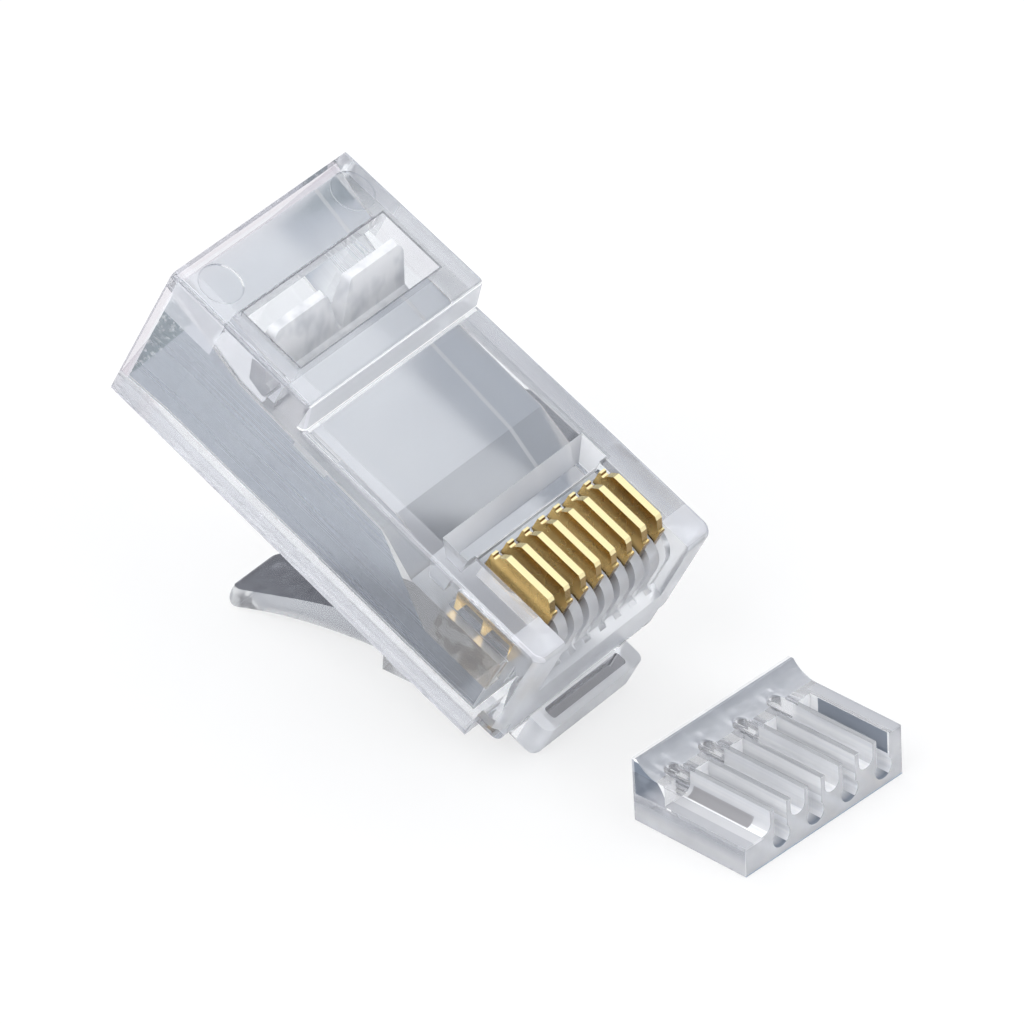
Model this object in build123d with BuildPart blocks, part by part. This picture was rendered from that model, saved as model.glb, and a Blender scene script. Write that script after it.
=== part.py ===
from build123d import *
from math import atan2, cos, degrees, sin
import os

# An eight-way modular plug with its loose wire load bar, in millimetres.
# The plug is drawn level: nose at y = 0, cable end towards +y, contacts up, underside at z = 0.
# Every piece is then moved by the one resting place at the end of the sizes.

# Outer body. Width is the standard 8-way plug; the collar at the cable end is the tallest part.
body_width = 11.74
rear_taper = 0.19
nose_front = -0.2
body_length = 21.7
body_height = 6.5
collar_height = 7.95
collar_length = 7.95
collar_front = body_length - collar_length
collar_lean = 0.32
corner_radius = 0.6
nose_foot_radius = 0.5
edge_radius = 0.28

# Guide notches at the two lower front corners, which leave side rails behind them.
rail_width = 0.92
rail_end = 0.95
rail_height = 1.45

# Cable cavity. The walls stay near one millimetre; the load bar seats in the front part.
side_wall = 1.09
floor_wall = 0.95
chamber_front = 1.35
chamber_end = 6.45
chamber_height = 3.15
funnel_end = 8.6
tunnel_front_height = 4.2
tunnel_rear_height = 4.55
mouth_height = 5.9
mouth_flare = 0.42
mouth_depth = 2.5
mouth_length = 4.7
tunnel_rear = body_length - mouth_length

# Strain relief window through the collar, with a wider room below its rim.
window_width = 9.1
window_front = collar_front + 1.57
window_length = 3.33
window_rim = 0.95
window_relief = 0.3

# Strain relief flap: leans back in the window on a hinge at the cavity ceiling.
flap_width = 8.4
flap_hinge_y = window_front + 0.78
flap_hinge_z = 5.7
flap_knuckle = 0.35
flap_reach = 2.2
flap_lean = 1.05
flap_thickness = 0.8
flap_corner_radius = 0.5
notch_width = 1.5
notch_depth = 1.8
notch_corner_radius = 0.35

# Ejector marks on the collar.
pin_mark_radius = 1.0
pin_mark_depth = 0.06
pin_mark_spacing = 8.54
pin_mark_y = body_length - 1.55

# Clamp trough across the top behind the contacts.
trough_half_width = 4.6
trough_rear = 6.46
trough_lean = 0.56
trough_depth = 1.5

# Contact field: a shallow tray that wraps round the nose, with one slot for each blade.
contact_count = 8
contact_pitch = 1.02
field_half_width = 4.1
field_depth = 0.35
field_front_depth = 0.35
field_end = 5.05
field_foot = 3.1
comb_radius = 1.1
slot_side_clearance = 0.035
slot_end_clearance = 0.06
slot_access_foot = 3.3

# Contact blade, drawn as supplied: standing proud until the plug is crimped.
blade_thickness = 0.35
blade_front = 1.05
blade_rear = 4.62
blade_top = 7.25
blade_crown_front = 1.55
blade_crown_rear = 4.02
blade_shoulder = 6.74
blade_web = 4.85
blade_tip = 4.15
tine_half_width = 0.28
crimped_height = 6.02
crimp_travel = blade_top - crimped_height

# Latch root: a block in front of the nose, hollowed from above.
root_half_width = 3.25
root_front = -1.3
root_top = 0.55
root_bottom = -1.42
root_nose_radius = 0.45
root_corner_radius = 0.4
pocket_half_width = 2.45
pocket_rear = -0.35
pocket_front = -0.95
pocket_depth = 0.9

# Latch arm: a wide spring plate with locking shoulders, then a narrow finger tail.
hinge_y = 0.72
hinge_z = -0.95
hinge_radius = 0.44
hinge_gap = 0.03
latch_half_width = 3.1
shoulder_y = 6.58
shoulder_z = -3.17
plate_thickness = 0.95
tail_half_width = 1.625
tail_bend_y = 9.73
tail_bend_z = -5.08
tail_mid_y = 11.46
tail_mid_z = -6.52
tail_tip_y = 13.85
tail_tip_z = -9.3
tail_tip_radius = 0.45
tail_corner_radius = 0.6
tail_under_bow = 0.37
spine_start = 2.6
spine_top = -1.83
spine_foot = -2.3
spine_depth = 1.38

# Load bar with eight wire channels in two heights.
bar_length = 6.14
bar_width = 9.36
bar_rear_height = 3.08
bar_deck_height = 2.43
bar_rim = 0.25
ramp_foot = 4.6
ramp_sag = 0.16
low_channel_radius = 0.5
low_channel_height = 0.87
low_slot_width = 0.76
high_channel_radius = 0.42
high_channel_height = 1.84
high_slot_rear = 5.3
low_slot_rear = 4.3
bar_ledge_height = high_channel_height - high_channel_radius
bar_side_gap = 0.05

# Resting place. Nose and latch tail both touch the floor, which sets the tilt of the plug.
rest_tilt = degrees(
    atan2(
        (root_bottom + root_nose_radius) - tail_tip_z,
        tail_tip_y - (root_front + root_nose_radius),
    )
)
rest_lift = root_nose_radius - (
    (root_front + root_nose_radius) * sin(rest_tilt * 3.14159265 / 180)
    + (root_bottom + root_nose_radius) * cos(rest_tilt * 3.14159265 / 180)
)
plug_y = -2.61
bar_x = -4.95
bar_y = -12.68
bar_turn = -6.0
plug_place = Location((0, plug_y, rest_lift), (rest_tilt, 0, 0))
bar_place = Location((bar_x, plug_y + bar_y, 0), (0, 0, bar_turn))

half_width = body_width / 2
chamber_ceiling = floor_wall + chamber_height
flare_share = (body_length - mouth_depth - tunnel_rear) / (body_length - tunnel_rear)
flare_height = tunnel_rear_height + (mouth_height - tunnel_rear_height) * flare_share
tail_end = tail_tip_y + tail_tip_radius
slot_width = blade_thickness + 2 * slot_side_clearance
first_contact_x = -contact_pitch * (contact_count - 1) / 2

os.makedirs("parts", exist_ok=True)

# Housing, one clear moulding: body with collar, hollowed for the cable and slotted for the blades.
with BuildPart() as housing:
    with BuildSketch(Plane.YZ):
        with BuildLine():
            Polyline(
                (nose_front, 0),
                (body_length, 0),
                (body_length, collar_height),
                (collar_front, collar_height),
                (collar_front - collar_lean, body_height),
                (nose_front, body_height),
                close=True,
            )
        make_face()
        fillet(vertices().group_by(Axis.X)[0].sort_by(Axis.Y)[0], radius=nose_foot_radius)
    extrude(amount=half_width, both=True)
    # seen from above the nose corners are rounded and the body narrows towards the cable end
    with BuildSketch(Plane.XY):
        with BuildLine():
            Polyline(
                (-half_width, nose_front),
                (half_width, nose_front),
                (half_width, field_end),
                (half_width - rear_taper, body_length),
                (-half_width + rear_taper, body_length),
                (-half_width, field_end),
                close=True,
            )
        make_face()
        fillet(vertices().group_by(Axis.Y)[0], radius=corner_radius)
    extrude(amount=collar_height, mode=Mode.INTERSECT)
    # one small rounding along the top edges and round the front of the collar
    top_sides = (
        housing.edges()
        .filter_by(GeomType.LINE)
        .filter_by(Axis.X, reverse=True)
        .filter_by_position(Axis.Z, body_height, collar_height)
    )
    collar_brow = (
        housing.edges().filter_by(Axis.X).filter_by_position(Axis.Y, collar_front - 0.01, collar_front + 0.01)
    )
    fillet(top_sides + collar_brow, radius=edge_radius)
    # lower front notches
    with BuildSketch(Plane.XY):
        with Locations(
            (half_width - rail_width / 2, rail_end / 2 - 1),
            (-half_width + rail_width / 2, rail_end / 2 - 1),
        ):
            Rectangle(rail_width, rail_end + 2)
    extrude(amount=rail_height, mode=Mode.SUBTRACT)
    # latch root block in front of the nose
    with BuildSketch(Plane.YZ):
        with BuildLine():
            Polyline(
                (0.6, root_top),
                (root_front, root_top),
                (root_front, root_bottom),
                (hinge_y - hinge_radius - hinge_gap, root_bottom),
                (hinge_y - hinge_radius - hinge_gap, hinge_z),
                (hinge_y, hinge_z + hinge_radius),
                (hinge_y + 0.5, 0.3),
                close=True,
            )
        make_face()
        root_foot = vertices().group_by(Axis.X)[0].sort_by(Axis.Y)[0]
        fillet(root_foot, radius=root_nose_radius)
        with Locations((hinge_y, hinge_z)):
            Circle(hinge_radius + hinge_gap, mode=Mode.SUBTRACT)
    extrude(amount=root_half_width, both=True)
    root_corners = (
        housing.edges().filter_by(Axis.Z).filter_by_position(Axis.Y, root_front - 0.01, root_front + 0.01)
    )
    fillet(root_corners, radius=root_corner_radius)
    with BuildSketch(Plane.XY.offset(root_top)):
        with Locations((0, (pocket_rear + pocket_front) / 2)):
            RectangleRounded(2 * pocket_half_width, pocket_rear - pocket_front, 0.15)
    extrude(amount=-pocket_depth, mode=Mode.SUBTRACT)
    # cable cavity, seen from the side
    with BuildSketch(Plane.YZ):
        with BuildLine():
            Polyline(
                (chamber_front, floor_wall),
                (body_length + 1, floor_wall),
                (body_length + 1, floor_wall + mouth_height),
                (body_length, floor_wall + mouth_height),
                (tunnel_rear, floor_wall + tunnel_rear_height),
                (funnel_end, floor_wall + tunnel_front_height),
                (chamber_end, chamber_ceiling),
                (chamber_front, chamber_ceiling),
                close=True,
            )
        make_face()
    extrude(amount=half_width - side_wall, both=True, mode=Mode.SUBTRACT)
    # flared sides of the cable mouth
    with BuildSketch(Plane.XZ.offset(-body_length)):
        with Locations((0, floor_wall)):
            Rectangle(
                2 * (half_width - side_wall + mouth_flare), mouth_height, align=(Align.CENTER, Align.MIN)
            )
    with BuildSketch(Plane.XZ.offset(mouth_depth - body_length)):
        with Locations((0, floor_wall)):
            Rectangle(2 * (half_width - side_wall), flare_height, align=(Align.CENTER, Align.MIN))
    loft(mode=Mode.SUBTRACT)
    # strain relief window: the rim, then the room below it
    with BuildSketch(Plane.XY.offset(collar_height)):
        with Locations((0, window_front + window_length / 2)):
            Rectangle(window_width, window_length)
    extrude(amount=-(collar_height - flap_hinge_z - 0.25), mode=Mode.SUBTRACT)
    with BuildSketch(Plane.YZ):
        with BuildLine():
            Polyline(
                (flap_hinge_y, floor_wall + 2),
                (window_front + window_length + window_relief, floor_wall + 2),
                (window_front + window_length + window_relief, collar_height - window_rim - 0.3),
                (window_front + window_length, collar_height - window_rim),
                (flap_hinge_y, collar_height - window_rim),
                close=True,
            )
        make_face()
        with Locations((flap_hinge_y, flap_hinge_z)):
            Circle(flap_knuckle + hinge_gap)
    extrude(amount=window_width / 2, both=True, mode=Mode.SUBTRACT)
    # ejector marks
    with BuildSketch(Plane.XY.offset(collar_height)):
        with Locations((0, pin_mark_y)):
            with GridLocations(pin_mark_spacing, 0, 2, 1):
                Circle(pin_mark_radius)
    extrude(amount=-pin_mark_depth, mode=Mode.SUBTRACT)
    # clamp trough
    with BuildSketch(Plane.YZ):
        with BuildLine():
            Polyline(
                (trough_rear, body_height),
                (trough_rear, body_height + 0.5),
                (field_end, body_height + 0.5),
                (field_end, body_height - trough_depth),
                (trough_rear - trough_lean, body_height - trough_depth),
                close=True,
            )
        make_face()
    extrude(amount=trough_half_width, both=True, mode=Mode.SUBTRACT)
    # contact tray wrapping from the top round the nose
    with BuildSketch(Plane.YZ):
        with BuildLine():
            Line((field_end, body_height - field_depth), (field_end, body_height + 1))
            Polyline(
                (field_end, body_height + 1),
                (-1, body_height + 1),
                (-1, field_foot),
                (nose_front, field_foot),
                (field_front_depth, field_foot + field_front_depth),
                (field_front_depth, body_height - field_depth - comb_radius),
            )
            RadiusArc(
                (field_front_depth, body_height - field_depth - comb_radius),
                (field_front_depth + comb_radius, body_height - field_depth),
                comb_radius,
            )
            Line(
                (field_front_depth + comb_radius, body_height - field_depth),
                (field_end, body_height - field_depth),
            )
        make_face()
    extrude(amount=field_half_width, both=True, mode=Mode.SUBTRACT)
    # blade slots, open to the front for the spring wires of a jack
    with BuildSketch(Plane.YZ):
        with BuildLine():
            Polyline(
                (-0.5, body_height + 0.5),
                (-0.5, slot_access_foot),
                (field_front_depth, slot_access_foot),
                (blade_front - slot_end_clearance, slot_access_foot + 0.9),
                (blade_front - slot_end_clearance, blade_tip - crimp_travel),
                (blade_rear + slot_end_clearance, blade_tip - crimp_travel),
                (blade_rear + slot_end_clearance, body_height + 0.5),
                close=True,
            )
        make_face()
    slot_cut = extrude(amount=slot_width / 2, both=True, mode=Mode.PRIVATE)
    with GridLocations(contact_pitch, 0, contact_count, 1):
        add(slot_cut, mode=Mode.SUBTRACT)

# Latch: spring arm with shoulders and finger tail, swinging on its root.
with BuildPart() as latch:
    with BuildSketch(Plane.YZ):
        with BuildLine():
            Polyline(
                (hinge_y + 0.1, hinge_z + hinge_radius * 0.97),
                (shoulder_y, shoulder_z),
                (shoulder_y - 0.38 * plate_thickness, shoulder_z - 0.925 * plate_thickness),
                (hinge_y - 0.1, hinge_z - hinge_radius * 0.97),
                close=True,
            )
        make_face()
        with Locations((hinge_y, hinge_z)):
            Circle(hinge_radius)
    extrude(amount=latch_half_width, both=True)
    # the tail's tip is round, so its two sides meet the tip circle where they run at a slope of 1 in 0.9
    tip_side_y = tail_tip_radius * 0.667
    tip_side_z = tail_tip_radius * 0.745
    heel_y = shoulder_y - 0.26 * spine_depth
    heel_z = shoulder_z - spine_depth
    under_mid_y = (heel_y + tail_tip_y - tip_side_y) / 2 + tail_under_bow * 0.57
    under_mid_z = (heel_z + tail_tip_z - tip_side_z) / 2 + tail_under_bow * 0.82
    with BuildSketch(Plane.YZ):
        with BuildLine():
            Spline(
                (spine_start, spine_top),
                (shoulder_y, shoulder_z),
                (tail_bend_y, tail_bend_z),
                (tail_mid_y, tail_mid_z),
                (tail_tip_y + tip_side_y, tail_tip_z + tip_side_z),
            )
            ThreePointArc(
                (tail_tip_y + tip_side_y, tail_tip_z + tip_side_z),
                (tail_tip_y + tip_side_z, tail_tip_z - tip_side_y),
                (tail_tip_y - tip_side_y, tail_tip_z - tip_side_z),
            )
            ThreePointArc(
                (tail_tip_y - tip_side_y, tail_tip_z - tip_side_z),
                (under_mid_y, under_mid_z),
                (heel_y, heel_z),
            )
            Line((heel_y, heel_z), (spine_start, spine_foot))
            Line((spine_start, spine_foot), (spine_start, spine_top))
        make_face()
    extrude(amount=tail_half_width, both=True)
    # rounded corners at the end of the tail, seen from above
    with BuildSketch(Plane.XY.offset(tail_tip_z - 1)):
        with Locations((tail_half_width, tail_end), (-tail_half_width, tail_end)):
            Rectangle(2 * tail_corner_radius, 2 * tail_corner_radius)
        with Locations(
            (tail_half_width - tail_corner_radius, tail_end - tail_corner_radius),
            (-tail_half_width + tail_corner_radius, tail_end - tail_corner_radius),
        ):
            Circle(tail_corner_radius, mode=Mode.SUBTRACT)
    extrude(amount=3, mode=Mode.SUBTRACT)

# Strain relief flap with an M-shaped free edge.
with BuildPart() as strain_relief_flap:
    with BuildSketch(Plane.YZ):
        with BuildLine():
            Polyline(
                (flap_hinge_y - 0.06, flap_hinge_z + 0.1),
                (flap_hinge_y + flap_lean, flap_hinge_z + flap_reach),
                (flap_hinge_y + flap_lean + 0.42, flap_hinge_z + flap_reach - 0.1),
                (flap_hinge_y + flap_thickness, flap_hinge_z - 0.12),
                (flap_hinge_y, flap_hinge_z - flap_knuckle),
                close=True,
            )
        make_face()
        with Locations((flap_hinge_y, flap_hinge_z)):
            Circle(flap_knuckle)
    extrude(amount=flap_width / 2, both=True)
    # seen from the cable end: two lobes with rounded corners and a narrow V between them
    flap_top = flap_hinge_z + flap_reach
    with BuildSketch(Plane.XZ.offset(1 - flap_hinge_y)):
        with BuildLine():
            Polyline(
                (-flap_width / 2, flap_hinge_z - 1),
                (flap_width / 2, flap_hinge_z - 1),
                (flap_width / 2, flap_top),
                (notch_width / 2, flap_top),
                (0.1, flap_top - notch_depth),
                (-0.1, flap_top - notch_depth),
                (-notch_width / 2, flap_top),
                (-flap_width / 2, flap_top),
                close=True,
            )
        make_face()
        lobe_tops = vertices().group_by(Axis.Y)[-1].sort_by(Axis.X)
        fillet([lobe_tops[0], lobe_tops[-1]], radius=flap_corner_radius)
        lobe_tops = vertices().group_by(Axis.Y)[-1].sort_by(Axis.X)
        fillet(lobe_tops[1:-1], radius=notch_corner_radius)
    extrude(amount=-4, mode=Mode.INTERSECT)

# One gold-plated blade: proud crown, shoulder bumps at both ends and three piercing tines.
with BuildPart() as blade:
    with BuildSketch(Plane.YZ):
        with BuildLine():
            Polyline(
                (blade_front, blade_web),
                (blade_front, blade_shoulder - 0.08),
                (blade_front + 0.05, blade_shoulder),
                (blade_front + 0.14, blade_shoulder - 0.03),
                (blade_crown_front - 0.1, blade_top - 0.12),
                (blade_crown_front + 0.05, blade_top),
                (blade_crown_rear - 0.05, blade_top),
                (blade_crown_rear + 0.22, blade_top - 0.27),
                (blade_crown_rear + 0.32, blade_shoulder + 0.02),
                (blade_rear - 0.18, blade_shoulder + 0.02),
                (blade_rear - 0.12, blade_shoulder + 0.13),
                (blade_rear, blade_shoulder + 0.1),
                (blade_rear, blade_web),
                close=True,
            )
        make_face()
        with Locations(
            (blade_front + tine_half_width, blade_web),
            ((blade_front + blade_rear) / 2, blade_web),
            (blade_rear - tine_half_width, blade_web),
        ):
            Polygon(
                (-tine_half_width, 0.05),
                (-tine_half_width * 0.35, blade_tip - blade_web),
                (tine_half_width * 0.35, blade_tip - blade_web),
                (tine_half_width, 0.05),
                align=None,
            )
    extrude(amount=blade_thickness / 2, both=True)

# Load bar: ramped rear wall, deck with open channels, floors of neighbours at two heights.
with BuildPart() as load_bar:
    with BuildSketch(Plane.YZ):
        with BuildLine():
            Polyline(
                (ramp_foot, bar_deck_height),
                (0, bar_deck_height),
                (0, 0),
                (bar_length, 0),
                (bar_length, bar_rear_height),
                (bar_length - bar_rim, bar_rear_height),
            )
            ThreePointArc(
                (bar_length - bar_rim, bar_rear_height),
                (
                    (ramp_foot + bar_length - bar_rim) / 2 + ramp_sag * 0.5,
                    (bar_deck_height + bar_rear_height) / 2 - ramp_sag,
                ),
                (ramp_foot, bar_deck_height),
            )
        make_face()
    extrude(amount=bar_width)
    first_wire_x = bar_width / 2 - contact_pitch * (contact_count - 1) / 2
    # wire holes through to the rear face, in two rows
    with BuildSketch(Plane.XZ):
        with Locations((first_wire_x + contact_pitch * 3, high_channel_height)):
            with GridLocations(2 * contact_pitch, 0, contact_count // 2, 1):
                Circle(high_channel_radius)
        with Locations((first_wire_x + contact_pitch * 4, low_channel_height)):
            with GridLocations(2 * contact_pitch, 0, contact_count // 2, 1):
                Circle(low_channel_radius)
    extrude(amount=-bar_length, mode=Mode.SUBTRACT)
    # open tops of the upper channels run into the ramp, those of the lower ones stop at its foot
    with BuildSketch(Plane.XY.offset(high_channel_height)):
        with Locations((first_wire_x + contact_pitch * 3, (high_slot_rear - 1) / 2)):
            with GridLocations(2 * contact_pitch, 0, contact_count // 2, 1):
                SlotOverall(high_slot_rear + 1, 2 * high_channel_radius, rotation=90)
    extrude(amount=2, mode=Mode.SUBTRACT)
    with BuildSketch(Plane.XY.offset(low_channel_height)):
        with Locations((first_wire_x + contact_pitch * 4, low_slot_rear / 2)):
            with GridLocations(2 * contact_pitch, 0, contact_count // 2, 1):
                Rectangle(low_slot_width, low_slot_rear)
    extrude(amount=2, mode=Mode.SUBTRACT)
    # the outermost upper channel has no outer wall
    with BuildSketch(Plane.XY.offset(bar_ledge_height)):
        Rectangle(first_wire_x, ramp_foot - 0.2, align=(Align.MIN, Align.MIN))
    extrude(amount=2, mode=Mode.SUBTRACT)

# Move every piece to its resting place and write it out.
placed = {
    "housing": housing.part.moved(plug_place),
    "latch": latch.part.moved(plug_place),
    "strain_relief_flap": strain_relief_flap.part.moved(plug_place),
    "load_bar": load_bar.part.moved(bar_place),
}
for number in range(contact_count):
    seat = Location((first_contact_x + contact_pitch * number, 0, 0))
    placed["contact_%d" % (number + 1)] = blade.part.moved(plug_place * seat)

for name, piece in placed.items():
    piece.label = name
    export_step(piece, "parts/%s.step" % name)
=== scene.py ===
import bpy
import numpy as np
from mathutils import Euler, Matrix, Vector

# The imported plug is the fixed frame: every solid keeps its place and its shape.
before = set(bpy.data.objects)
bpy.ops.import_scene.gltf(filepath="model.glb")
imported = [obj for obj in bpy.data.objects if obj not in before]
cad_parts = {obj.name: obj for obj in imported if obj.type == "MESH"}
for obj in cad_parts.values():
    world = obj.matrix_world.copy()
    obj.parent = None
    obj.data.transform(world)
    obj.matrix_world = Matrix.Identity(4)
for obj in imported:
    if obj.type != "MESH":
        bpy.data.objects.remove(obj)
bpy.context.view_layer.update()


# The camera looks at the plug from its left front, 34 degrees up, through a long lens.
# Its three axes are the picture's right, down and forward directions in the row frame.
lens_right = (0.614812, -0.78721, -0.04803)
lens_down = (-0.464413, -0.31214, -0.828788)
lens_forward = (0.637438, 0.531855, -0.557498)
lens_place = (-0.23154272, -0.19325513, 0.21167527)
lens_turn = np.array([lens_right, -np.array(lens_down), -np.array(lens_forward)]).T

lens = bpy.data.cameras.new("long_lens")
lens.lens = 313.285
lens.sensor_width = 36.0
lens.sensor_fit = "HORIZONTAL"
lens.clip_start = 0.01
lens.clip_end = 10.0
camera = bpy.data.objects.new("camera", lens)
camera.matrix_world = Matrix.Translation(lens_place) @ Matrix(lens_turn.tolist()).to_4x4()
bpy.context.scene.collection.objects.link(camera)
bpy.context.scene.camera = camera
bpy.context.scene.view_settings.view_transform = "Standard"

# Light that is caught between two clear faces runs on through many reflections before it gets out.
bpy.context.scene.cycles.max_bounces = 24
bpy.context.scene.cycles.glossy_bounces = 14
bpy.context.scene.cycles.transmission_bounces = 20


# The studio: a white table top, a surround with one broad soft panel, and three soft lamps.
# The table is white to the lens and keeps a light shadow; none of it belongs to the plug.
table_drop = 0.00004
table_reach = 1.5
table_corners = [(-1, -1), (1, -1), (1, 1), (-1, 1)]
table_white = (0.86, 0.86, 0.86, 1)
table_seen_glow = 0.7
table_passed_glow = 0.52
panel_way = (0.64, -0.2, 0.742)
panel_edge = (0.82, 0.94)
panel_white = (1.12, 1.12, 1.12, 1)
full_white = (1, 1, 1, 1)
surround_stops = [
    (0.0, (0.8, 0.8, 0.8, 1)),
    (0.48, (0.8, 0.8, 0.8, 1)),
    (0.56, (0.5, 0.52, 0.56, 1)),
    (0.75, (0.4, 0.42, 0.46, 1)),
    (1.0, (0.6, 0.62, 0.66, 1)),
]
plug_heart = (0, 0, 0.008)


class Value:
    """One output of a shader node. Sums and products of values add the Math nodes that work them out."""

    def __init__(self, tree, socket):
        self.tree = tree
        self.socket = socket

    def join(self, operation, first, second):
        """A Math node on two operands, each a value or a number."""
        node = self.tree.nodes.new("ShaderNodeMath")
        node.operation = operation
        for place, value in enumerate((first, second)):
            if isinstance(value, Value):
                self.tree.links.new(value.socket, node.inputs[place])
            else:
                node.inputs[place].default_value = value
        return Value(self.tree, node.outputs[0])

    def __add__(self, other):
        return self.join("ADD", self, other)

    __radd__ = __add__

    def __mul__(self, other):
        return self.join("MULTIPLY", self, other)

    __rmul__ = __mul__

    def __sub__(self, other):
        return self.join("SUBTRACT", self, other)

    def __rsub__(self, other):
        return self.join("SUBTRACT", other, self)

    def __gt__(self, other):
        return self.join("GREATER_THAN", self, other)

    def __lt__(self, other):
        return self.join("LESS_THAN", self, other)

    def __abs__(self):
        return self.join("ABSOLUTE", self, 0.0)

    def between(self, low, high):
        """1 where the value lies between low and high, 0 elsewhere."""
        return (self > low) * (self < high)

    def share(self, low, high):
        """0 up to low, 1 from high on, and a straight rise between them."""
        node = self.tree.nodes.new("ShaderNodeMapRange")
        self.tree.links.new(self.socket, node.inputs["Value"])
        node.inputs["From Min"].default_value = low
        node.inputs["From Max"].default_value = high
        return Value(self.tree, node.outputs[0])


class Finish:
    """A material whose nodes are added one by one, each by its type, its settings and its sockets."""

    def __init__(self, name, world=False):
        if world:
            self.holder = bpy.data.worlds.new(name)
        else:
            self.holder = bpy.data.materials.new(name)
        self.holder.use_nodes = True
        self.tree = self.holder.node_tree
        self.tree.nodes.clear()

    def node(self, kind, settings=None, sockets=None):
        """A new node. Its settings come first, and a ramp's stops are pairs of place and colour."""
        made = self.tree.nodes.new("ShaderNode" + kind)
        for key, value in (settings or {}).items():
            if key == "stops":
                ramp = made.color_ramp
                while len(ramp.elements) < len(value):
                    ramp.elements.new(0.5)
                for element, (place, colour) in zip(ramp.elements, value):
                    element.position = place
                    element.color = colour
            else:
                setattr(made, key, value)
        for key, value in (sockets or {}).items():
            if isinstance(value, Value):
                self.tree.links.new(value.socket, made.inputs[key])
            else:
                made.inputs[key].default_value = value
        return made

    def out(self, made, key=0):
        """One output of a node, as a value."""
        return Value(self.tree, made.outputs[key])

    def blend(self, share, first, second):
        """The first colour where the share is 0, the second where it is 1."""
        mixed = self.node("Mix", settings={"data_type": "RGBA"}, sockets={0: share, 6: first, 7: second})
        return self.out(mixed, 2)

    def coats(self, ground, layers):
        """Colour laid over colour, each as far as its own share says; the last lies on top."""
        for share, colour in layers:
            ground = self.blend(share, ground, colour)
        return ground

    def along(self, vector, direction):
        """How far a vector reaches in a direction: their dot product."""
        product = self.node(
            "VectorMath", settings={"operation": "DOT_PRODUCT"}, sockets={0: vector, 1: direction}
        )
        return self.out(product, 1)

    def surface(self, value):
        """Ends the material with this shader."""
        kind = "OutputWorld" if isinstance(self.holder, bpy.types.World) else "OutputMaterial"
        self.node(kind, sockets={"Surface": value})
        return self.holder


def soft_lamp(name, place, wide, power):
    """A square lamp at a place, turned so that its face looks at the plug."""
    lamp = bpy.data.lights.new(name, "AREA")
    lamp.shape = "SQUARE"
    lamp.size = wide
    lamp.energy = power
    holder = bpy.data.objects.new(name, lamp)
    bpy.context.scene.collection.objects.link(holder)
    turn = (Vector(place) - Vector(plug_heart)).to_track_quat("Z", "Y").to_matrix().to_4x4()
    holder.matrix_world = Matrix.Translation(place) @ turn


table_mesh = bpy.data.meshes.new("table_top")
table_mesh.from_pydata(
    [(table_reach * x, table_reach * y, -table_drop) for x, y in table_corners], [], [(0, 1, 2, 3)]
)
table_top = bpy.data.objects.new("table_top", table_mesh)
bpy.context.scene.collection.objects.link(table_top)

white_card = Finish("white_card")
path = white_card.node("LightPath")
seen = white_card.out(path, "Is Camera Ray")
through = white_card.out(path, "Is Glossy Ray") + white_card.out(path, "Is Transmission Ray")
glow_share = table_seen_glow * seen + table_passed_glow * (through > 0.5)
matt = white_card.node("BsdfDiffuse", sockets={"Color": table_white})
glow = white_card.node("Emission", sockets={"Color": full_white, "Strength": 1.0})
card = white_card.node(
    "MixShader", sockets={0: glow_share, 1: white_card.out(matt), 2: white_card.out(glow)}
)
table_mesh.materials.append(white_card.surface(white_card.out(card)))

surround = Finish("surround", world=True)
path = surround.node("LightPath")
way = surround.out(surround.node("TexCoord"), "Generated")
height = surround.out(surround.node("SeparateXYZ", sockets={0: way}), "Z")
grade = surround.node("ValToRGB", settings={"stops": surround_stops}, sockets={0: 0.5 + 0.5 * height})
panel = surround.along(way, panel_way).share(*panel_edge)
lit = surround.blend(panel, surround.out(grade), panel_white)
plain = surround.node("Background", sockets={"Color": lit, "Strength": 1.0})
white = surround.node("Background", sockets={"Color": full_white, "Strength": 1.0})
both = surround.node(
    "MixShader",
    sockets={0: surround.out(path, "Is Camera Ray"), 1: surround.out(plain), 2: surround.out(white)},
)
bpy.context.scene.world = surround.surface(surround.out(both))

soft_lamp("lamp_left", (-0.35, 0.05, 0.4), 0.4, 1.5)
soft_lamp("lamp_back", (0.1, 0.4, 0.35), 0.4, 1.1)
soft_lamp("lamp_front", (0.0, -0.45, 0.22), 0.3, 0.95)


# Housing: an injection moulding in clear polycarbonate, polished outside, with a cool cast. The steel
# core that forms the cavity is drawn out towards the cable end and leaves its walls satin and streaked
# lengthwise. Spark-eroded inserts leave the nose comb, the trough and the collar's front a little frosted.
millimetres = 1000.0
clear_index = 1.586
plug_tilt = np.radians(29.53878)
plug_middle = (0.0, -0.00261, 0.00171298)
plug_up = (0.0, -np.sin(plug_tilt), np.cos(plug_tilt))
plug_nose_way = (0.0, -np.cos(plug_tilt), -np.sin(plug_tilt))

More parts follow.
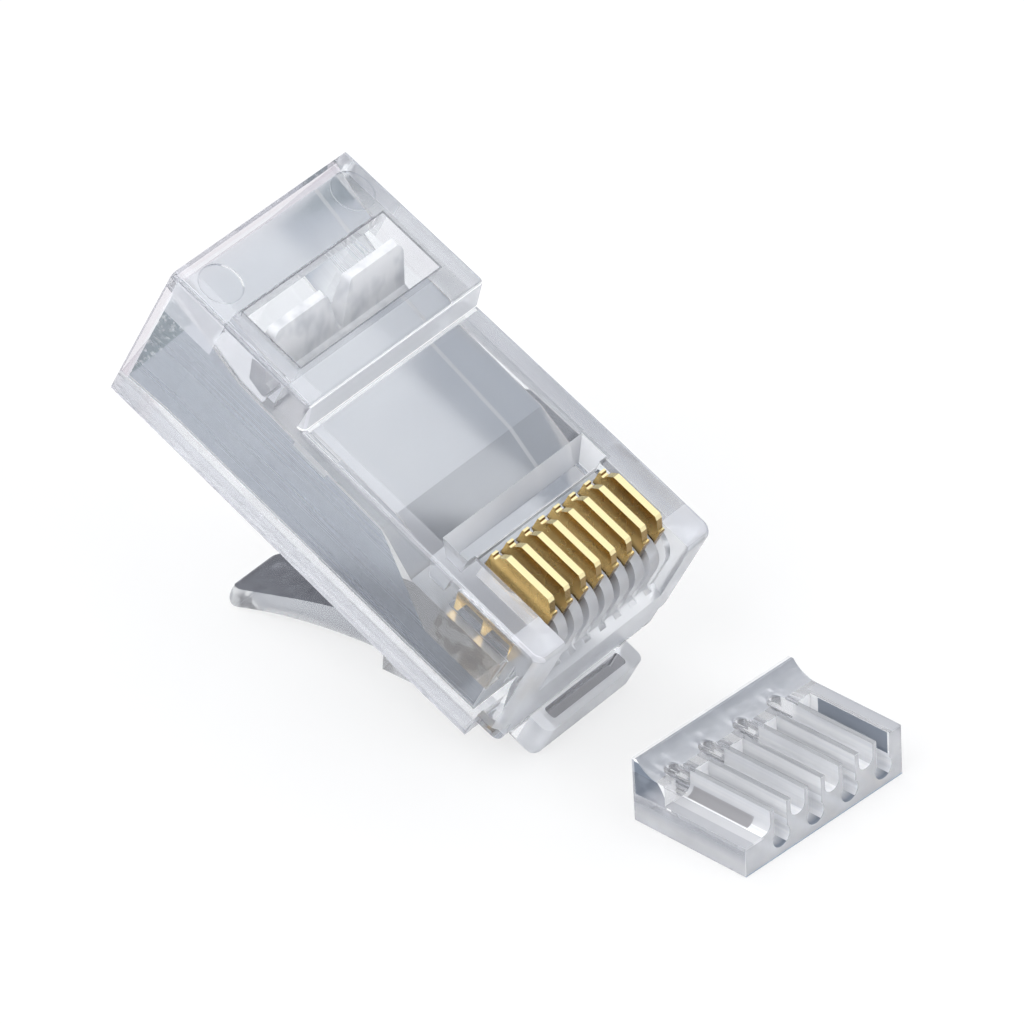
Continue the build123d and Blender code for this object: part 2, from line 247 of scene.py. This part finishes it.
# what passes through the clear faces is tinted
clear_tint = (0.93, 0.945, 0.965, 1)
haze_tint = (0.88, 0.895, 0.92, 1)
slab_and_shade_tint = (0.78, 0.8, 0.84, 1)
ceiling_tint = (0.9, 0.92, 0.95, 1)
funnel_shade_tint = (0.66, 0.675, 0.7, 1)
wall_low_shade_tint = (0.4, 0.44, 0.51, 1)
wall_tint = (0.42, 0.465, 0.535, 1)
wall_streak_and_light_tint = (0.5, 0.545, 0.615, 1)
window_light_tint = (0.84, 0.865, 0.9, 1)
mouth_shade_tint = (0.14, 0.19, 0.22, 1)
mouth_sparkle = (0.75, 0.8, 0.82, 1)
flank_tint = (0.84, 0.83, 0.86, 1)
trough_tint = (0.9, 0.92, 0.96, 1)
pin_tint = (0.84, 0.86, 0.89, 1)
rim_tint = (0.84, 0.81, 0.84, 1)
edge_shade_tint = (0.6, 0.62, 0.67, 1)
line_shade_tint = (0.35, 0.36, 0.4, 1)
warm_reflection_tint = (0.86, 0.83, 0.8, 1)
tine_shade_brown = (0.6, 0.53, 0.45, 1)
tine_reflection_gold = (1, 0.95, 0.86, 1)
pocket_shade_tint = (0.3, 0.3, 0.33, 1)

# what the satin faces throw back is milky
core_milk = (0.47, 0.51, 0.58, 1)
frost_milk = (0.93, 0.94, 0.97, 1)
top_milk = (0.8, 0.81, 0.86, 1)
slab_milk = (0.9, 0.9, 0.95, 1)
window_light_milk = (0.9, 0.92, 0.95, 1)
warm_reflection_milk = (0.96, 0.93, 0.89, 1)
mouth_shade_milk = (0.25, 0.3, 0.33, 1)
edge_milk = (0.45, 0.47, 0.52, 1)
line_shade_milk = (0.2, 0.2, 0.22, 1)

# sizes on the plug's ruler, in millimetres: along from the nose to the cable end, up from the underside
hair = 0.03
ceiling_hair = 0.04
body_side = 5.87
body_end = 21.7
nose_end = 1.45
cavity_floor = 0.95
cavity_side = 4.78
cavity_reach = 5.26
chamber_front = 1.3
chamber_height = 4.1
chamber_rear = 6.45
funnel_rise = 1.05
funnel_rear = 8.6
tunnel_rise = 0.35
tunnel_rear = 17.0
mouth_rise = 1.35
tines_rear = 4.7
satin_low = 2.4
satin_rise = 2.75
satin_along = (4.85, 8.7)
window_side = 4.55
window_middle = 16.985
window_half = 1.665
window_line = 0.06
window_light_fore = (13.6, 14.8)
window_light_rear = (20.4, 19.2)
collar_start = 13.3
collar_top = 7.9
collar_middle = 18.6
brow_wide = 0.5
flank_up = (5.9, 7.8)
slab_wide = 0.45
rim_start = 21.32
loop_along = (-4.0, -0.25)
loop_left = -2.7
pocket_along, pocket_up, pocket_side = (-1.0, -0.3), (-0.4, 0.54), 2.5
trough_along, trough_up, trough_side = (5.0, 6.5), (5.04, 6.49), 4.65
trough_floor_along, trough_floor_up = (4.4, 6.3), (4.9, 5.04)
pin_mark_x = 4.27
pin_mark_y = 20.15
pin_mark_radius = 1.0


def dress(names, finish):
    """Gives each named solid this finish in its one material slot."""
    for name in names:
        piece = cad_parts[name]
        piece.data.materials.clear()
        piece.data.materials.append(finish)


def ruler(finish, origin, turn):
    """A piece's own ruler: Object coordinates brought to its origin and turned level, in millimetres."""
    shift = Euler(turn).to_matrix() @ Vector(origin) * -millimetres
    place = finish.node("TexCoord")
    level = finish.node(
        "Mapping",
        sockets={
            "Vector": finish.out(place, "Object"),
            "Location": tuple(shift),
            "Rotation": turn,
            "Scale": (millimetres, millimetres, millimetres),
        },
    )
    split = finish.node("SeparateXYZ", sockets={0: finish.out(level)})
    return finish.out(level), finish.out(split, "X"), finish.out(split, "Y"), finish.out(split, "Z")


def noise(finish, vector, stretch, detail):
    """A cloudy value from 0 to 1, with as many patches to the millimetre as the stretch says."""
    scaled = finish.node("Mapping", sockets={"Vector": vector, "Scale": stretch})
    cloud = finish.node(
        "TexNoise", sockets={"Vector": finish.out(scaled), "Scale": 1.0, "Detail": detail, "Roughness": 0.6}
    )
    return finish.out(cloud)


def either(*masks):
    """1 where at least one of the masks is 1: their sum is over a half."""
    total = masks[0]
    for mask in masks[1:]:
        total = total + mask
    return total > 0.5


def clear_plastic(finish, tint, roughness, milk, share):
    """Clear polycarbonate with a share of milky scattering mixed in."""
    clear = finish.node(
        "BsdfPrincipled",
        sockets={
            "Base Color": tint,
            "Transmission Weight": 1.0,
            "IOR": clear_index,
            "Roughness": roughness,
        },
    )
    scatter = finish.node(
        "BsdfPrincipled", sockets={"Base Color": milk, "Roughness": 1.0, "Specular IOR Level": 0.0}
    )
    both = finish.node("MixShader", sockets={0: share, 1: finish.out(clear), 2: finish.out(scatter)})
    return finish.surface(finish.out(both))


moulding = Finish("clear_moulding")
facing = moulding.out(moulding.node("TexCoord"), "Normal")
level, across, along, up = ruler(moulding, plug_middle, (-plug_tilt, 0, 0))
aside = abs(across)
# the cavity's ceiling rises from the wire chamber through the funnel and the tunnel to the flared mouth
ceiling = chamber_height + funnel_rise * along.share(chamber_rear, funnel_rear)
ceiling = ceiling + tunnel_rise * along.share(funnel_rear, tunnel_rear)
ceiling = ceiling + mouth_rise * along.share(tunnel_rear, body_end)
in_core = (aside < cavity_reach) * (up > cavity_floor + hair) * (up < ceiling + ceiling_hair)
in_core = in_core * along.between(chamber_front, rim_start)
on_ceiling = in_core * (up > ceiling - ceiling_hair) * (aside < cavity_side - hair)
on_wall = in_core * (1.0 - on_ceiling)
# beside the wire chamber only the lower part of the wall is satin, and the tines show above it; there the
# clear wall is tinted warm as a painted reflection of the gold
satin_top = satin_low + satin_rise * along.share(*satin_along)
beside_tines = on_wall * (up > satin_top) * (along < satin_along[1])
by_tines = beside_tines * (along < tines_rear)
on_wall = on_wall * (1.0 - beside_tines)
# the core's drawing marks run lengthwise, and the thick parts are a little hazy
fine = noise(moulding, level, (0.3, 0.04, 7.0), 2.0)
broad = noise(moulding, level, (0.3, 0.03, 1.5), 1.0)
drawn = (0.45 * fine + 0.55 * broad).share(0.36, 0.64)
bands = noise(moulding, level, (0.9, 0.03, 0.1), 1.0).share(0.3, 0.7)
haze = noise(moulding, level, (0.28, 0.28, 0.28), 1.0).share(0.35, 0.65)
# a painted highlight line runs along the floor and under the ceiling of each wall, at the core's corners
high_line = 0.13 + 0.25 * along.between(11.8, 13.7)
corner_highlight = on_wall * either(up < cavity_floor + 0.16, up > ceiling - high_line)
# a painted highlight line runs lengthwise over the ceiling, along the fine step where the core's two halves
# meet
seam_highlight = on_ceiling * (abs(across - 2.2 - 0.058 * along) < 0.1) * (along > chamber_rear)
# the flared mouth is textured, and it is deeper near its ceiling; there it is painted dark as painted
# shade, with painted sparkle over the texture
mouth_shade = on_wall * (along > 21.6 - 0.26 * up) * (1.0 - corner_highlight)
sparkle = noise(moulding, level, (4.0, 4.0, 4.0), 1.0).share(0.55, 0.7)
rim = along.between(rim_start + hair, body_end + 0.1)
# painted shade: the ceiling over the funnel is tinted darker
funnel = along.between(chamber_rear, funnel_rear)
slab = (aside > body_side - slab_wide) * (up < cavity_floor)
# painted shadow: the pocket's faces are tinted dark
pocket = along.between(*pocket_along) * up.between(*pocket_up) * (aside < pocket_side)
root_loop = along.between(*loop_along)
clear_loop = root_loop * (1.0 - pocket)
# round marks of the two ejector pins on the collar; the ring round each mark is its edge, tinted dark as
# painted shade, and a painted highlight lies on the inner side of the left mark's ring
pin_reach = (aside - pin_mark_x) * (aside - pin_mark_x) + (along - pin_mark_y) * (along - pin_mark_y)
pin_mark = (pin_reach < pin_mark_radius**2) * (up > 7.5)
pin_ring = pin_mark * (pin_reach > 0.88 * pin_mark_radius**2)
pin_glint = pin_ring * across.between(0.75 - pin_mark_x, 0.0)
nose = (along < nose_end) * (up > 0.6) * (aside < body_side - 0.05)
trough = along.between(*trough_along) * (aside < trough_side) * up.between(*trough_up)
trough_floor = along.between(*trough_floor_along) * (aside < trough_side) * up.between(*trough_floor_up)
collar_brow = along.between(collar_start, collar_start + 0.46) * (up > 6.52)
frosted = either(nose, trough, collar_brow)
# the window's upper edge is sharp, and a dark line is painted along it as painted shade
frame_shade_line = (up > collar_top) * (aside < window_side + window_line)
frame_shade_line = frame_shade_line * (abs(along - window_middle) < window_half + window_line)
# the rounded long edges: the left ones catch the light, the right ones look into the shade
sideways = moulding.along(facing, (1, 0, 0))
upright = moulding.along(facing, plug_up)
rounded = (up > 6.3) * upright.between(0.15, 0.97)
light_edge = rounded * (sideways < -0.2)
dark_edge = rounded * (sideways > 0.2)
# painted highlight lines along the lower edge and the top of the collar's brow
brow_highlight = along.between(collar_start, collar_start + brow_wide) * either(up < 6.62, up > 7.8) * (up > 6.5)
side_top = (aside > cavity_side - 0.75 * (along < 4.9)) * (up > 6.4) * (upright > 0.9)
# the collar's flanks are thick and a little cloudy at the mouth, and look through to the window before it
flank = (aside > body_side - 0.3) * up.between(*flank_up)
flank_rear = flank * along.between(collar_middle, rim_start)
flank_fore = flank * along.between(collar_start, collar_middle)
# the far wall lies bright in the light that the open window lets in
window_light = along.share(*window_light_fore) * along.share(*window_light_rear) * (across > 0.0)
# next to the tines the wall is painted in blotches: painted reflections of the gold tines, and painted
# brown shade where the webs between them lie
tine_light = noise(moulding, level, (1.3, 1.3, 1.3), 1.0).share(0.47, 0.56)
tine_reflections = moulding.blend(tine_light, tine_shade_brown, tine_reflection_gold)
# the painted highlights: these lines and the glint are made white
bright = either(corner_highlight, seam_highlight, pin_glint, brow_highlight)

# painted shade: the ceiling is tinted darker towards its right side, with bands of random tone over it
shade_rightward = across.share(-0.5, 7.0)
band_tint = moulding.blend(shade_rightward, clear_tint, ceiling_tint)
shaded = moulding.blend(bands, moulding.blend(shade_rightward, ceiling_tint, slab_and_shade_tint), band_tint)
# painted shade: the satin walls are tinted dark, darker towards the bottom and lighter towards the nose,
# over the real lengthwise drawing streaks
walls = moulding.coats(
    moulding.blend(drawn, wall_tint, wall_streak_and_light_tint),
    [
        (up.share(4.6, 1.2), moulding.blend(drawn, wall_low_shade_tint, wall_tint)),
        (along.share(8.0, 1.0), wall_streak_and_light_tint),
        (window_light, window_light_tint),
    ],
)
tint = moulding.coats(
    moulding.blend(haze, clear_tint, haze_tint),
    [
        (on_ceiling, moulding.blend(funnel, shaded, funnel_shade_tint)),
        (beside_tines, warm_reflection_tint),
        (by_tines, tine_reflections),
        (slab, slab_and_shade_tint),
        (rim, rim_tint),
        (pocket, pocket_shade_tint),
        (on_wall, walls),
        (mouth_shade, moulding.blend(sparkle, mouth_shade_tint, mouth_sparkle)),
        (flank_fore, flank_tint),
        (trough_floor, trough_tint),
        (pin_mark, pin_tint),
        (pin_ring, edge_shade_tint),
        (frame_shade_line, line_shade_tint),
        (dark_edge, edge_shade_tint),
        (bright, full_white),
    ],
)
milk = moulding.coats(
    moulding.blend(either(frosted, root_loop), core_milk, frost_milk),
    [
        (side_top, top_milk),
        (either(slab, flank_rear, light_edge), slab_milk),
        (window_light * on_wall, window_light_milk),
        (beside_tines, warm_reflection_milk),
        (by_tines, tine_reflections),
        (mouth_shade, mouth_shade_milk),
        (dark_edge, edge_milk),
        (frame_shade_line, line_shade_milk),
        (bright, full_white),
    ],
)
satin = 0.3 * on_ceiling + on_wall * (0.2 + 0.12 * drawn) + 0.1 * frosted + 0.15 * pin_mark + 0.12 * nose
satin = satin + 0.3 * clear_loop
cloud = 0.04 + 0.12 * on_ceiling + on_wall * (0.34 + 0.08 * drawn) + 0.45 * bright + 0.24 * frosted
cloud = cloud + 0.2 * (trough + collar_brow) + 0.16 * side_top + 0.3 * (frame_shade_line + dark_edge)
cloud = cloud + 0.12 * (slab + light_edge) + 0.3 * flank_rear + 0.2 * beside_tines
cloud = cloud + clear_loop * (0.34 + 0.3 * (across < loop_left))
dress(("housing",), clear_plastic(moulding, tint, satin, milk, cloud))


# Latch: one moulding with the housing. Its finger tail is left satin on the upper side, where the
# thumb presses it, and it is clear on its sides and underneath.
tail_start = 2.7
tail_shade_dark = (0.11, 0.115, 0.135, 1)
tail_shade_light = (0.26, 0.265, 0.295, 1)
tail_shade_milk = (0.2, 0.205, 0.235, 1)
spring = Finish("clear_latch")
facing = spring.out(spring.node("TexCoord"), "Normal")
level, across, along, up = ruler(spring, plug_middle, (-plug_tilt, 0, 0))
# painted shade: the tail's upper side is tinted dark, in patches
upper = spring.along(facing, (0, 0, 1)).share(0.5, 0.75) * (along > tail_start)
mottle = noise(spring, level, (1.2, 1.2, 1.2), 2.0).share(0.3, 0.7)
tint = spring.blend(upper, clear_tint, spring.blend(mottle, tail_shade_dark, tail_shade_light))
milk = spring.blend(upper, full_white, tail_shade_milk)
dress(("latch",), clear_plastic(spring, tint, 0.05 + 0.1 * upper, milk, 0.1 + 0.15 * upper))


# Strain relief flap: a thin web moulded with the housing, frosted, with flow marks towards its edge.
# It hangs in the collar's window and is folded down on the cable's jacket when the plug is crimped.
web = Finish("frosted_flap")
level, across, along, up = ruler(web, plug_middle, (-plug_tilt, 0, 0))
flow = noise(web, level, (0.8, 0.8, 0.5), 2.0).share(0.32, 0.55)
tint = web.blend(flow, (0.9, 0.91, 0.94, 1), (0.985, 0.985, 0.99, 1))
milk = web.blend(flow, (0.8, 0.815, 0.85, 1), (0.95, 0.955, 0.97, 1))
dress(("strain_relief_flap",), clear_plastic(web, tint, 0.12, milk, 0.68 + 0.1 * flow))


# Eight contact blades: stamped from bronze strip, plated with nickel and hard gold.
# The crowns are a little smoother and painted bright as a painted highlight; the rolled sides are duller,
# and the sheared front ends are painted darkest as painted shade.
crown_highlight_gold = (0.97, 0.86, 0.5, 1)
rolled_dark = (0.62, 0.4, 0.13, 1)
rolled_light = (0.86, 0.62, 0.26, 1)
buried_brown = (0.16, 0.11, 0.07, 1)
sheared_shade_brown = (0.26, 0.16, 0.06, 1)
plating = Finish("gold_plating")
facing = plating.out(plating.node("TexCoord"), "Normal")
level, across, along, up = ruler(plating, plug_middle, (-plug_tilt, 0, 0))
crown = plating.along(facing, plug_up).share(0.5, 0.8)
sheared = plating.along(facing, plug_nose_way).share(0.55, 0.8)
grain = noise(plating, level, (0.9, 0.9, 0.9), 3.0)
# the part of a blade that stands in its slot gets little light
buried = (1.0 - up.share(6.0, 6.4)) * up.share(4.7, 5.0)
gilding = plating.coats(
    plating.blend(grain, rolled_dark, rolled_light),
    [(0.8 * buried, buried_brown), (sheared, sheared_shade_brown), (crown, crown_highlight_gold)],
)
gold = plating.node(
    "BsdfPrincipled",
    sockets={"Base Color": gilding, "Metallic": 1.0, "Roughness": 0.2 + 0.14 * grain - 0.1 * crown},
)
dress(["contact_%d" % number for number in range(1, 9)], plating.surface(plating.out(gold)))


# Load bar: its own small clear moulding, laid beside the plug before the wires are threaded.
# Its ramp, front and ends are a little frosted; the drilled-out channel floors catch the light.
bar_place = (-0.00495, -0.01529, 0.0)
bar_turn = np.radians(6.0)
bar_deep = 6.14
bar_shelf = 1.35
bar_top = 2.4
bar_skin = 0.02
ramp_wall = 0.12
frost_tint = (0.84, 0.85, 0.88, 1)
frost_clear = (0.95, 0.955, 0.97, 1)
ledge_shade_tint = (0.68, 0.69, 0.73, 1)
hollow_reflection_tint = (0.08, 0.1, 0.13, 1)
hollow_light_tint = (0.45, 0.46, 0.5, 1)
shade_and_reflection_tint = (0.4, 0.43, 0.48, 1)
shade_tint = (0.42, 0.41, 0.42, 1)
bar_milk = (0.78, 0.79, 0.82, 1)
bar_light_milk = (0.88, 0.89, 0.91, 1)
ramp_shade_milk = (0.45, 0.47, 0.51, 1)
ramp_shade_light_milk = (0.55, 0.57, 0.61, 1)
ledge_shade_milk = (0.6, 0.61, 0.64, 1)
end_milk = (0.58, 0.6, 0.65, 1)
end_light_milk = (0.95, 0.95, 0.97, 1)
ledge_highlight_milk = (0.88, 0.88, 0.9, 1)
channel_milk = (0.88, 0.89, 0.92, 1)
right_top_milk = (0.52, 0.53, 0.56, 1)
shade_and_reflection_milk = (0.22, 0.25, 0.3, 1)
shade_milk = (0.36, 0.355, 0.365, 1)
hollow_light_milk = (0.55, 0.56, 0.6, 1)
base_shade_milk = (0.36, 0.44, 0.54, 1)
bar = Finish("clear_bar")
level, across, along, up = ruler(bar, bar_place, (0, 0, bar_turn))


def block(across_range, along_range, up_range):
    """1 inside a box on the load bar's ruler, given by its three ranges in millimetres."""
    return across.between(*across_range) * along.between(*along_range) * up.between(*up_range)


frost = noise(bar, level, (0.7, 0.7, 0.7), 2.0)
drag = noise(bar, level, (5.0, 0.12, 5.0), 1.0).share(0.35, 0.65)
# seen from the left end, the rounded inside of the ramp shows as a dark quarter ellipse, painted on the end
# face as a painted dark reflection, lighter towards the front and the bottom, with a painted highlight line
# round it
inward = (bar_deep - ramp_wall - along) * 0.58
rise = (up - bar_shelf) * 0.62
arc = inward * inward + rise * rise
end_panel = (across < bar_skin) * (up > bar_shelf) * (along < bar_deep - ramp_wall)
hollow_reflection = end_panel * (arc < 1.0)
hollow_highlight = end_panel * arc.between(1.0, 1.3)
hollow_light = (along + up).share(7.2, 6.2)
left_end = (across < bar_skin) * (1.0 - hollow_reflection)
# the outer wall on the right, tinted dark as a painted dark reflection, and the open ledge on the left,
# which has no outer wall, tinted darker as painted shade with a painted highlight streak on it
right_wall = block((8.6, 8.95), (0.1, 3.9), (bar_shelf, bar_top))
right_top = (across > 8.8) * (along < 4.6) * (up > 2.38)
ledge = across.between(bar_skin, 1.09) * up.between(1.3, 1.46) * (along < 5.0)
ledge_highlight = ledge * across.between(0.5, 0.98)
ledge_shade = block((1.1, 1.52), (0.9, 4.2), (1.4, 1.9))
# the channels, and the shade that lies in the lower ones at their mouths
inside = block((1.0, 9.3), (bar_skin, 4.4), (0.3, bar_top))
mouth = inside * (along < 1.1) * (up < 1.5)
crescent = mouth * (up < 0.47) * along.share(0.75, 0.15)
front = (along < bar_skin) * (up < bar_top)
# painted shade: a dark line along the front's bottom edge
base_shade_line = front * (up < 0.07)
# the ramp is frosted, and its frost is tinted grey as painted shade
ramp = (along > 4.0) * (up > 2.45)
# painted highlight: a white line along the top at the back
top_rim_highlight = (up > 3.02) * (along > 6.0)
# painted dark: the painted dark reflections of the right wall and the left end, and the painted shade in
# the channel mouths and beside the ledge
dark = right_wall + crescent + hollow_reflection + ledge_shade

tint = bar.coats(
    bar.blend(frost, frost_tint, frost_clear),
    [
        (ledge, ledge_shade_tint),
        (hollow_reflection, bar.blend(hollow_light, hollow_reflection_tint, hollow_light_tint)),
        (right_wall + crescent, shade_and_reflection_tint),
        (ledge_shade, shade_tint),
    ],
)
milk = bar.coats(
    bar.blend(frost, bar_milk, bar_light_milk),
    [
        (ramp, bar.blend(frost, ramp_shade_milk, ramp_shade_light_milk)),
        (ledge, ledge_shade_milk),
        (left_end, bar.blend(up.share(1.1, 0.55), end_milk, end_light_milk)),
        (ledge_highlight, ledge_highlight_milk),
        (inside, bar.blend(drag, channel_milk, full_white)),
        (right_top, right_top_milk),
        (dark, shade_and_reflection_milk),
        (ledge_shade, shade_milk),
        (hollow_reflection * hollow_light, hollow_light_milk),
        (base_shade_line, base_shade_milk),
        (either(hollow_highlight, top_rim_highlight), full_white),
    ],
)
cloud = 0.08 + 0.08 * frost + 0.4 * ramp + 0.3 * (ledge + dark) + 0.45 * (right_top + hollow_highlight)
cloud = cloud + 0.2 * (left_end + front) + 0.45 * inside + 0.15 * (hollow_reflection + top_rim_highlight + ledge_shade)
cloud = cloud + 0.25 * mouth * (1.0 - crescent) + 0.35 * base_shade_line
dress(("load_bar",), clear_plastic(bar, tint, 0.06 + 0.1 * frost, milk, cloud))
